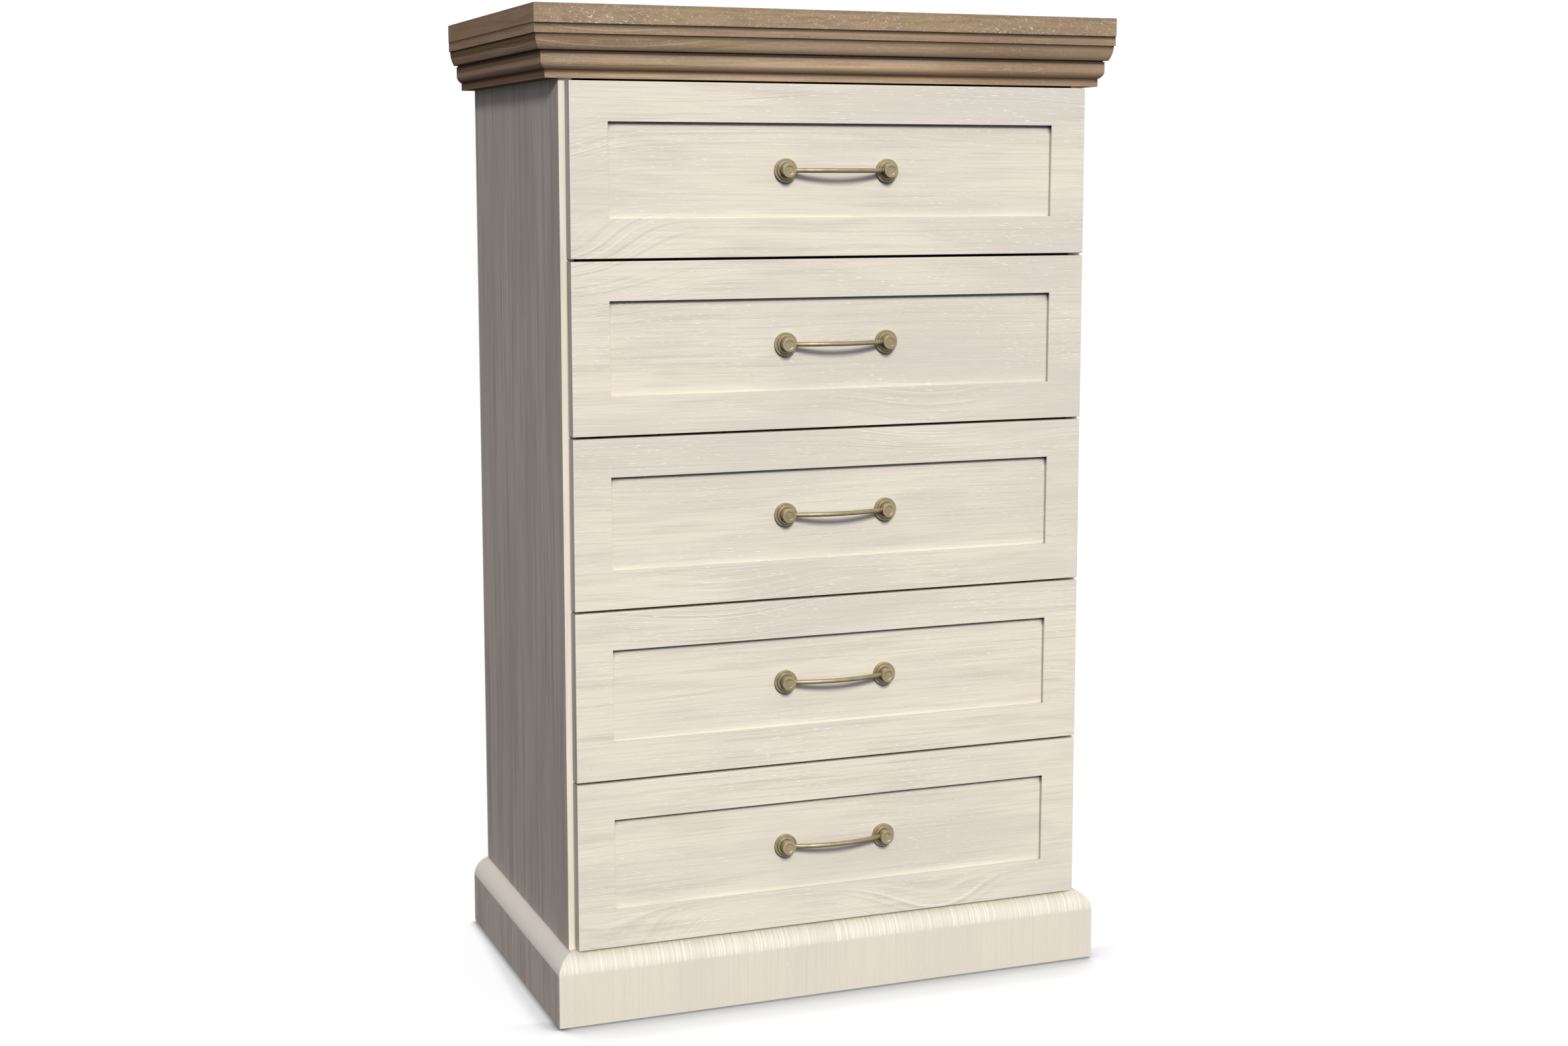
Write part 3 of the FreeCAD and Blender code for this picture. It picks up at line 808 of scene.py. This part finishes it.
def back_board():
    """Painted hardboard: pressed fibres under a thin warm white coat."""
    coat = (0.70, 0.655, 0.56, 1)
    fibre = (0.58, 0.53, 0.44, 1)
    cloud = (0.66, 0.62, 0.54, 1)
    material, tree, shader, coordinates = new_finish("back_board")
    fibres = noise(tree, stretched(tree, coordinates, 260, 260), detail=5.0, roughness=0.7)
    clouds = noise(tree, stretched(tree, coordinates, 6, 6))
    colour = mixed(tree, ranged(tree, fibres, 0.35, 0.7), coat, fibre)
    colour = mixed(tree, ranged(tree, clouds, 0.4, 0.7, 0.0, 0.4), colour, cloud)
    tree.links.new(colour, shader.inputs["Base Color"])
    tree.links.new(ranged(tree, fibres, *NOISE_SPAN, 0.55, 0.75), shader.inputs["Roughness"])
    embossed(tree, shader, fibres, 0.25, 0.4 * MM)
    return material


def glide_plastic():
    """Pale moulded plastic with a fine grain and scuffs."""
    clean = (0.72, 0.70, 0.65, 1)
    scuffed = (0.55, 0.53, 0.49, 1)
    material, tree, shader, coordinates = new_finish("glide_plastic")
    grain = noise(tree, stretched(tree, coordinates, 900, 900))
    scuffs = noise(tree, stretched(tree, coordinates, 60, 200))
    colour = mixed(tree, ranged(tree, scuffs, 0.5, 0.75), clean, scuffed)
    tree.links.new(colour, shader.inputs["Base Color"])
    tree.links.new(ranged(tree, grain, *NOISE_SPAN, 0.4, 0.6), shader.inputs["Roughness"])
    embossed(tree, shader, grain, 0.15, 0.2 * MM)
    return material


pine_across = wood_foil("cream_pine_across", washed_pine, ALONG_X)
pine_upright = wood_foil("cream_pine_upright", streaked_pine, ALONG_Z)
pine_edge = wood_foil("cream_pine_edge", edge_pine, ALONG_Z)
pine_end = wood_foil("cream_pine_end", end_pine, ALONG_Z)
pine_ridged = wood_foil("cream_pine_ridged", ridged_pine, ALONG_Z)
pine_ridged_matt = wood_foil("cream_pine_ridged_matt", matt_ridged_pine, ALONG_Z)
oak_top = wood_foil("oak_top", embossed_oak, ALONG_X)
oak_end = wood_foil("oak_end", matt_oak, ALONG_Y)
oak_across = wood_foil("oak_moulding_across", moulded_oak, ALONG_X)
oak_inward = wood_foil("oak_moulding_inward", matt_oak, ALONG_Y)
brass = antique_brass()

finishes = {
    "cream_pine_foil": pine_upright,
    "oak_foil": oak_across,
    "drawer_box_foil": drawer_box_foil(),
    "back_board": back_board(),
    "antique_brass": brass,
    "zinc_steel": zinc_steel(),
    "glide_plastic": glide_plastic(),
}
for row in frame["record"]["subparts"]:
    for place in frame["nodes"][row["node"]].material_slots:
        place.material = finishes[row["material_slot"]]


# Drawer faces

def drawer_face(name, low, high):
    """A milled front: an inset field pressed in to a square recess, with all rims rounded."""
    piece = board(name, low, high)
    open_with(piece, "FACE", lambda face: face.normal.y < -squarely)
    bpy.ops.mesh.inset(thickness=recess_frame)
    bpy.ops.mesh.extrude_region_move(TRANSFORM_OT_translate={"value": (0, recess_depth, 0)})
    close()

    def on_front(edge):
        return all(abs(vertex.co.y - low.y) < TOUCH for vertex in edge.verts)

    def outer(edge):
        middle = (edge.verts[0].co + edge.verts[1].co) / 2
        beside = min(middle.x - low.x, high.x - middle.x)
        above = min(middle.z - low.z, high.z - middle.z)
        return min(beside, above) < TOUCH

    def crossing(edge):
        return abs(edge.verts[0].co.x - edge.verts[1].co.x) > MM and (
            abs(edge.verts[0].co.z - edge.verts[1].co.z) > MM
        )

    open_with(piece, "EDGE", lambda edge: on_front(edge) and outer(edge) and not crossing(edge))
    bpy.ops.mesh.bevel(offset=face_edge_round, segments=3)
    close()

    def rim(edge):
        return on_front(edge) and not outer(edge) and not crossing(edge)

    open_with(piece, "EDGE", rim)
    bpy.ops.mesh.bevel(offset=recess_edge_round, segments=2)
    close()
    smooth(piece)
    return piece


first_low, first_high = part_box("drawer_1_front")


def on_end(face):
    """Whether a face of a drawer front lies on its left or right end."""
    return abs(face.calc_center_median().x) > first_high.x - end_band


face_pattern = drawer_face("drawer_face_1", first_low, first_high)
for n in DRAWERS:
    face = face_pattern
    if n > 1:
        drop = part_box(f"drawer_{n}_front")[0] - first_low
        face = copy_of(face_pattern, f"drawer_face_{n}", drop)
    fit(face, f"drawer_{n}", "cream_pine_foil", pine_across, f"drawer_{n}_front")
    repaint(face, pine_end, on_end)


# Pulls

def turned_post(name, foot):
    """A turned post on an upright face: half its outline, drawn point by point and spun about its axis."""
    collar_end = rose_height + collar_height
    neck_end = collar_end + neck_height
    knob_end = neck_end + knob_height
    outline = [
        (0, 0),
        (rose_radius, 0),
        (rose_radius, rose_height),
        (collar_radius, rose_height),
        (collar_radius, collar_end),
        (neck_radius, collar_end),
        (neck_radius, neck_end - pull_edge_round),
        (knob_radius, neck_end),
        (knob_radius, knob_end),
        (knob_dish_radius, knob_end),
        (knob_dish_radius - knob_dish_depth, knob_end - knob_dish_depth),
        (0, knob_end - knob_dish_depth),
    ]
    bpy.ops.object.select_all(action="DESELECT")
    bpy.ops.mesh.primitive_plane_add(size=MM, location=foot)
    piece = placed(name)
    open_with(piece, "VERT", lambda vertex: True)
    bpy.ops.mesh.merge(type="CENTER")
    for (radius, out), (next_radius, next_out) in zip(outline, outline[1:]):
        step = (next_radius - radius, out - next_out, 0)
        bpy.ops.mesh.extrude_vertices_move(TRANSFORM_OT_translate={"value": step})
    bpy.ops.mesh.select_all(action="SELECT")
    bpy.ops.mesh.spin(steps=post_facets, angle=math.tau, center=foot, axis=(0, 1, 0), use_auto_merge=True)
    bpy.ops.mesh.select_all(action="SELECT")
    bpy.ops.mesh.remove_doubles(threshold=TOUCH)
    bpy.ops.mesh.normals_make_consistent(inside=False)
    close()
    round_edges(piece, pull_edge_round, segments=3)
    return piece


def bowed_bar(name, middle):
    """A round bar on a shallow arc that bows forward, from a disc swept about the arc's centre."""
    half = pull_spacing / 2
    arc_radius = (half**2 + bar_bow**2) / (2 * bar_bow)
    swing = math.asin(half / arc_radius)
    centre = middle + Vector((0, arc_radius, 0))
    start = centre + arc_radius * Vector((-math.sin(swing), -math.cos(swing), 0))
    bpy.ops.object.select_all(action="DESELECT")
    bpy.ops.mesh.primitive_circle_add(
        vertices=bar_facets,
        radius=bar_radius,
        fill_type="NGON",
        location=start,
        rotation=(math.pi / 2, 0, math.pi / 2 - swing),
    )
    piece = placed(name)
    open_with(piece, "FACE", lambda face: True)
    bpy.ops.mesh.spin(steps=bar_steps, angle=2 * swing, center=centre, axis=(0, 0, -1))
    bpy.ops.mesh.select_all(action="SELECT")
    bpy.ops.mesh.remove_doubles(threshold=TOUCH)
    bpy.ops.mesh.select_all(action="DESELECT")
    bpy.ops.mesh.select_mode(type="EDGE")
    bpy.ops.mesh.select_non_manifold()
    bpy.ops.mesh.fill_holes(sides=0)
    bpy.ops.mesh.select_all(action="SELECT")
    bpy.ops.mesh.normals_make_consistent(inside=False)
    close()
    return piece


def bowed_pull(name, foot_middle):
    """Two turned posts with the bar welded between them."""
    side = Vector((pull_spacing / 2, 0, 0))
    left_post = turned_post(name, foot_middle - side)
    right_post = copy_of(left_post, "right_post", 2 * side)
    bar = bowed_bar("bar", foot_middle + Vector((0, -bar_height - bar_bow, 0)))
    take(left_post)
    for other in (right_post, bar):
        weld = left_post.modifiers.new("weld", "BOOLEAN")
        weld.operation = "UNION"
        weld.solver = "EXACT"
        weld.object = other
        bpy.ops.object.modifier_apply(modifier=weld.name)
    bpy.data.objects.remove(right_post)
    bpy.data.objects.remove(bar)
    smooth(left_post)
    return left_post


recess_floor = first_low.y + recess_depth
face_middle = (first_low + first_high) / 2
pull_pattern = bowed_pull("bowed_pull_1", Vector((0, recess_floor, face_middle.z)))
for n in DRAWERS:
    pull = pull_pattern
    if n > 1:
        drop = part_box(f"drawer_{n}_front")[0] - first_low
        pull = copy_of(pull_pattern, f"bowed_pull_{n}", drop)
    fit(pull, f"drawer_{n}", "antique_brass", brass, f"drawer_{n}_pull")


# Carcass boards

for side, node in (("left", "left_side_panel"), ("right", "right_side_panel")):
    panel = board(f"side_board_{side}", *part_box(node))
    round_edges(panel, board_edge_round, segments=2)
    fit(panel, "carcass", "cream_pine_foil", pine_upright, node)
    repaint(panel, pine_edge, lambda face: face.normal.y < -mostly)

top = board("top_slab", *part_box("top_board"))
round_edges(top, top_edge_round, segments=3)
fit(top, "carcass", "oak_foil", oak_top, "top_board")
repaint(top, oak_end, lambda face: abs(face.normal.x) > mostly)


# Mouldings

def bulged(start, end, bulge, count):
    """Points on a shallow curve from start to end that swells outwards."""
    start = Vector(start)
    end = Vector(end)
    chord = end - start
    swell = Vector((-chord.y, chord.x)).normalized() * bulge
    shares = [step / count for step in range(1, count + 1)]
    return [tuple(start + chord * share + swell * 4 * share * (1 - share)) for share in shares]


def cornice_outline(depth, back, bottom, top):
    """Fillet, upper band, quirk, lower band and lip, as distances out and heights from the top round."""
    fillet_low = top - fillet_height
    band = (depth - fillet_step, fillet_low)
    band_end = (band[0] - upper_band_fall, fillet_low - upper_band_height)
    quirk = (band_end[0] - quirk_depth, band_end[1])
    quirk_end = (quirk[0], quirk[1] - quirk_height)
    lower = (quirk_end[0] + lower_band_return, quirk_end[1])
    lower_turn = (lower[0], lower[1] - lower_band_straight)
    lower_end = (lower[0] - lower_band_fall, lower_turn[1] - lower_band_round)
    lip = (lower_end[0] - lip_step, lower_end[1])
    outline = [(back, top), (depth, top), (depth, fillet_low), band]
    outline += bulged(band, band_end, upper_band_bulge, upper_band_steps)
    outline += [quirk, quirk_end, lower, lower_turn]
    outline += bulged(lower_turn, lower_end, lower_band_bulge, lower_band_steps)
    outline += [lip, (lip[0], bottom), (back, bottom)]
    return outline


def plinth_outline(depth, back, bottom, top):
    """A board on edge, from the bottom round, with its upper outer edge rounded over down to its back."""
    radius = plinth_round_radius
    centre = (depth - radius, top - radius)
    sweep = math.acos(max(back - centre[0], 0) / radius)
    outline = [(back, bottom), (depth, bottom), (depth, centre[1])]
    for step in range(1, plinth_round_steps + 1):
        angle = sweep * step / plinth_round_steps
        outline.append((centre[0] + radius * math.cos(angle), centre[1] + radius * math.sin(angle)))
    return outline


def trace(name, outline, face, run):
    """A strip of moulding: a plane along the run, whose outer edge is extruded round the outline."""
    corners = [face.origin + face.out * outline[0][0] + face.along * run[0]]
    corners.append(face.origin + face.out * outline[1][0] + face.along * run[1])
    span = corners[1] - corners[0]
    middle = (corners[0] + corners[1]) / 2 + UP * outline[0][1]
    size = (abs(span.x), abs(span.y), 1)
    bpy.ops.object.select_all(action="DESELECT")
    bpy.ops.mesh.primitive_plane_add(size=1, location=middle)
    bpy.ops.transform.resize(value=size)
    piece = placed(name)

    def outermost(edge):
        reaches = [(vertex.co - face.origin).dot(face.out) for vertex in edge.verts]
        return min(reaches) > outline[1][0] - TOUCH

    open_with(piece, "EDGE", outermost)
    for here, there in zip(outline[1:], outline[2:] + outline[:1]):
        step = face.out * (there[0] - here[0]) + UP * (there[1] - here[1])
        bpy.ops.mesh.extrude_edges_move(TRANSFORM_OT_translate={"value": step})
    bpy.ops.mesh.select_all(action="SELECT")
    bpy.ops.mesh.remove_doubles(threshold=TOUCH)
    bpy.ops.mesh.normals_make_consistent(inside=False)
    close()
    return piece


def trim(piece, point, outwards):
    """Saws the piece off along a plane and closes the cut."""
    open_with(piece, "FACE", lambda face: True)
    bpy.ops.mesh.bisect(plane_co=point, plane_no=outwards, use_fill=True, clear_outer=True)
    close()


def pack_out(piece, face, depth, top):
    """Thickens the piece from its back to the carcass and brings its upper back edge up to the top."""
    open_with(piece, "FACE", lambda each: each.normal.dot(face.out) < -squarely)
    bpy.ops.mesh.extrude_region_move(TRANSFORM_OT_translate={"value": face.out * -depth})
    close()
    highest = max(vertex.co.z for vertex in piece.data.vertices)

    def upper_back(vertex):
        return (vertex.co - face.origin).dot(face.out) < TOUCH and highest - vertex.co.z < TOUCH

    open_with(piece, "VERT", upper_back)
    bpy.ops.transform.translate(value=UP * (top - highest))
    close()


def moulding_set(nodes, names, draw):
    """The front and side lengths of a moulding, mitred together at the corners."""
    front_low, front_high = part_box(nodes["front"])
    left_low, left_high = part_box(nodes["left"])
    front_depth = carcass_front - front_low.y
    side_depth = -carcass_half - left_low.x
    front_back = max(front_depth - side_depth, 0)
    side_back = max(side_depth - front_depth, 0)
    bottom = front_low.z
    top = front_high.z
    beyond = 50 * MM

    corner = Vector((carcass_half + side_back, carcass_front - front_back, 0))
    left_corner = Vector((-corner.x, corner.y, 0))
    run = (front_low.x - beyond, front_high.x + beyond)
    pieces = {"front": trace(names["front"], draw(front_depth, front_back, bottom, top), FRONT, run)}
    trim(pieces["front"], corner, (1, 1, 0))
    trim(pieces["front"], left_corner, (-1, 1, 0))
    if front_back > 0:
        pack_out(pieces["front"], FRONT, front_back, top)

    run = (front_low.y - beyond, left_high.y)
    for side, face, point, inwards in (("left", LEFT, left_corner, 1), ("right", RIGHT, corner, -1)):
        pieces[side] = trace(names[side], draw(side_depth, side_back, bottom, top), face, run)
        trim(pieces[side], point, (inwards, -1, 0))
        trim(pieces[side], Vector((0, left_high.y - TOUCH, 0)), (0, 1, 0))
        if side_back > 0:
            pack_out(pieces[side], face, side_back, top)
    return pieces


sides = ("front", "left", "right")
cornice_nodes = {side: f"cornice_{side}" for side in sides}
cornice_names = {side: f"cornice_moulding_{side}" for side in sides}
cornice = moulding_set(cornice_nodes, cornice_names, cornice_outline)
for side in sides:
    round_edges(cornice[side], moulding_edge_round, segments=2)
    grain = oak_across if side == "front" else oak_inward
    fit(cornice[side], "carcass", "oak_foil", grain, cornice_nodes[side])

plinth_nodes = {side: f"plinth_{side}" for side in sides}
plinth_names = {side: f"plinth_board_{side}" for side in sides}
plinth = moulding_set(plinth_nodes, plinth_names, plinth_outline)
for side in sides:
    round_edges(plinth[side], moulding_edge_round, segments=2)
    foil = pine_ridged if side == "front" else pine_ridged_matt
    fit(plinth[side], "carcass", "cream_pine_foil", foil, plinth_nodes[side])


# Floor, light and camera

# Painted floor shadow near the chest: ways that it looks for the chest in, and how far it reaches from the
# plinth
TO_THE_RIGHT = (0.6, 0.0, 0.8)
TO_THE_BACK = (0.0, 0.6, 0.8)
contact_reach = 10 * MM
beside_reach_in_front = 40 * MM
beside_reach_behind = 18 * MM
beside_front = -100 * MM
beside_behind = 220 * MM
kerb_reach = 30 * MM
before_reach = 110 * MM
left_fade = 16 * MM
front_fade = 40 * MM
plinth_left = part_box("plinth_left")[0].x
plinth_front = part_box("plinth_front")[0].y

floor_size = 16
floor_tone = (0.92, 0.92, 0.895, 1)
floor_shadow_tone = (0.09, 0.09, 0.087, 1)
floor_bounce_tone = (0.12, 0.12, 0.12, 1)
floor_glow = 0.45
sky_tone = (0.400, 0.412, 0.510, 1)
sky_seen = (1, 1, 1, 1)
sunlight = (1.0, 0.98, 0.93)
lamp_distance = 4

# Camera, solved from the straight edges of the chest
camera_place = (-1.0176, -2.6744, 0.9859)
camera_dip = math.radians(7.45)
camera_turn = math.radians(-21.02)
camera_lens = 52.08
camera_sensor_width = 36
camera_shift = -0.03


def seen_directly(tree):
    """One for camera, glossy and transmission rays, and nought for light that is thrown about."""
    path = add(tree, "ShaderNodeLightPath").outputs
    mirrored = reckon(tree, "MAXIMUM", path["Is Glossy Ray"], path["Is Transmission Ray"])
    return reckon(tree, "MAXIMUM", path["Is Camera Ray"], mirrored)


def nearness_to_chest(tree, reach, lean):
    """One on the open floor, falling near the chest where it stands in the way that the lean points."""
    x, y, z = lean
    way = add(tree, "ShaderNodeCombineXYZ", {"X": x, "Y": y, "Z": z}).outputs[0]
    inputs = {"Distance": reach, "Normal": way}
    return add(tree, "ShaderNodeAmbientOcclusion", inputs, samples=SHELTER_SAMPLES).outputs["AO"]


def shadow_part(tree, reach, way, nearness, least):
    """One where the floor is clear, falling to the least light of the painted shadow over a span of
    nearness to the chest.
    """
    return ranged(tree, nearness_to_chest(tree, reach, way), *nearness, least, 1.0)


def white_floor():
    """Seen as white with a painted soft shadow near the chest, and dim to the light that bounces."""
    material = bpy.data.materials.new("white_floor")
    material.use_nodes = True
    tree = material.node_tree
    tree.nodes.clear()
    coordinates = add(tree, "ShaderNodeTexCoord").outputs["Object"]
    sideways, backwards, _ = add(tree, "ShaderNodeSeparateXYZ", {"Vector": coordinates}).outputs
    side_reaches = (beside_reach_in_front, beside_reach_behind)
    side_reach = ranged(tree, backwards, beside_front, beside_behind, *side_reaches)
    contact = shadow_part(tree, contact_reach, TO_THE_RIGHT, nearness=(0.29, 0.75), least=0.34)
    beside = shadow_part(tree, side_reach, TO_THE_RIGHT, nearness=(0.38, 0.76), least=0.64)
    kerb = shadow_part(tree, kerb_reach, TO_THE_BACK, nearness=(0.32, 0.85), least=0.74)
    before = shadow_part(tree, before_reach, TO_THE_BACK, nearness=(0.16, 0.94), least=0.50)
    not_left = ranged(tree, sideways, plinth_left, plinth_left + left_fade)
    not_front = ranged(tree, backwards, plinth_front, plinth_front + front_fade)
    left_shade = reckon(tree, "MAXIMUM", reckon(tree, "MULTIPLY", contact, beside), not_left)
    front_shade = reckon(tree, "MAXIMUM", reckon(tree, "MULTIPLY", kerb, before), not_front)
    shade = reckon(tree, "MULTIPLY", left_shade, front_shade)
    tone = mixed(tree, shade, floor_shadow_tone, floor_tone)
    lit = add(tree, "ShaderNodeBsdfDiffuse", {"Color": tone}).outputs[0]
    glow = add(tree, "ShaderNodeEmission", {"Color": tone, "Strength": floor_glow}).outputs[0]
    shown = add(tree, "ShaderNodeAddShader", {0: lit, 1: glow}).outputs[0]
    bounce = add(tree, "ShaderNodeBsdfDiffuse", {"Color": floor_bounce_tone}).outputs[0]
    inputs = {0: seen_directly(tree), 1: bounce, 2: shown}
    surface = add(tree, "ShaderNodeMixShader", inputs).outputs[0]
    add(tree, "ShaderNodeOutputMaterial", {"Surface": surface})
    return material


bpy.ops.object.select_all(action="DESELECT")
bpy.ops.mesh.primitive_plane_add(size=floor_size)
floor = placed("floor")
floor.data.materials.append(white_floor())

world = bpy.data.worlds.new("studio")
world.use_nodes = True
bpy.context.scene.world = world
sky = world.node_tree
sky.nodes.clear()
dim = add(sky, "ShaderNodeBackground", {"Color": sky_tone}).outputs[0]
white = add(sky, "ShaderNodeBackground", {"Color": sky_seen}).outputs[0]
shown_sky = add(sky, "ShaderNodeMixShader", {0: seen_directly(sky), 1: dim, 2: white}).outputs[0]
add(sky, "ShaderNodeOutputWorld", {"Surface": shown_sky})


def lamp(name, towards, strength, spread):
    """A broad, even light that comes from the given direction."""
    bpy.ops.object.light_add(type="SUN", location=Vector(towards) * lamp_distance)
    light = bpy.context.active_object
    light.name = name
    light.rotation_euler = Vector(towards).to_track_quat("Z", "Y").to_euler()
    light.data.energy = strength
    light.data.angle = math.radians(spread)
    return light


def link(light, state, pieces):
    """Lets a light reach only the given pieces, or all but them."""
    receivers = bpy.data.collections.new(light.name)
    for piece in pieces:
        receivers.objects.link(piece)
    for entry in receivers.collection_objects:
        entry.light_linking.link_state = state
    light.light_linking.receiver_collection = receivers


# The drawers have a soft key light from straight ahead, and all else has one from lower down at the left.
on_drawers = [piece for node, piece in frame["nodes"].items() if node.startswith("drawer_")]
on_drawers += [bpy.data.objects[f"drawer_face_{n}"] for n in DRAWERS]
on_drawers += [bpy.data.objects[f"bowed_pull_{n}"] for n in DRAWERS]
drawer_light = lamp("drawer_light", towards=(-0.04, -0.82, 0.57), strength=2.68, spread=14)
carcass_light = lamp("carcass_light", towards=(-0.265, -0.875, 0.37), strength=2.50, spread=8)
for key in (drawer_light, carcass_light):
    key.data.color = sunlight
link(drawer_light, "INCLUDE", on_drawers)
link(carcass_light, "EXCLUDE", on_drawers)

# The light from behind leaves the floor alone, so that it throws no shadow forward.
back_light = lamp("back_light", towards=(0.75, 0.60, 0.28), strength=1.3, spread=30)
link(back_light, "EXCLUDE", [floor])

camera_data = bpy.data.cameras.new("camera")
camera = bpy.data.objects.new("camera", camera_data)
bpy.context.scene.collection.objects.link(camera)
camera.location = camera_place
camera.rotation_euler = (math.radians(90) - camera_dip, 0, camera_turn)
camera_data.lens = camera_lens
camera_data.sensor_width = camera_sensor_width
camera_data.shift_y = camera_shift
bpy.context.scene.camera = camera
bpy.context.scene.view_settings.view_transform = "Standard"
